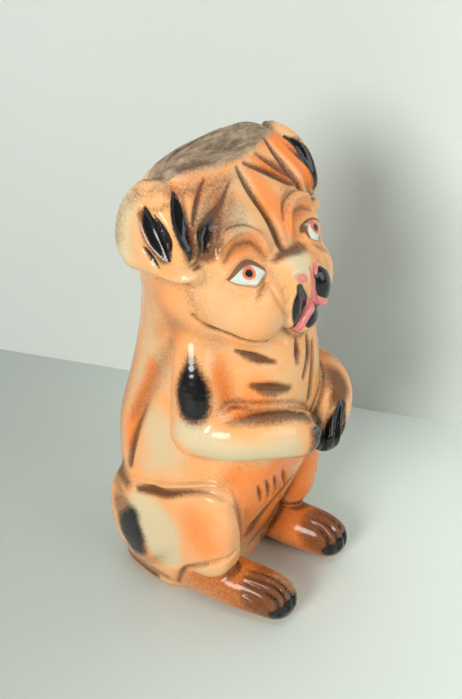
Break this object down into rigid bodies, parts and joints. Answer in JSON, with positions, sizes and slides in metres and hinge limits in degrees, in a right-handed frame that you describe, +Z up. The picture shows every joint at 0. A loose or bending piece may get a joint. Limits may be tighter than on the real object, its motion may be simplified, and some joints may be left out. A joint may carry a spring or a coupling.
{
  "type": "chalkware dog figure",
  "caption": "Free-standing hollow chalkware dog that sits up and begs, airbrushed and varnished plaster, with a plugged pouring mouth underneath.",
  "frame": {"origin": "on the ground under the middle of the figure's box, between its forepaws and its back", "axes": "+Z up the figure, -Y the way the dog looks, +X its left side"},
  "size_m": [0.109, 0.1113, 0.2357],
  "materials": {
    "painted_plaster_front": "airbrushed tan and orange paint with black and brown accents, under a gloss varnish",
    "painted_plaster_back": "airbrushed tan and cream paint, under a gloss varnish",
    "plaster_slip": "matt bare plaster, brushed on wet",
    "bare_plaster": "matt bare plaster, scraped flat"
  },
  "bodies": {
    "root": {"front_casting": "painted_plaster_front", "back_casting": "painted_plaster_back", "seam_band": "plaster_slip", "base_plug": "bare_plaster"}
  },
  "joints": []
}
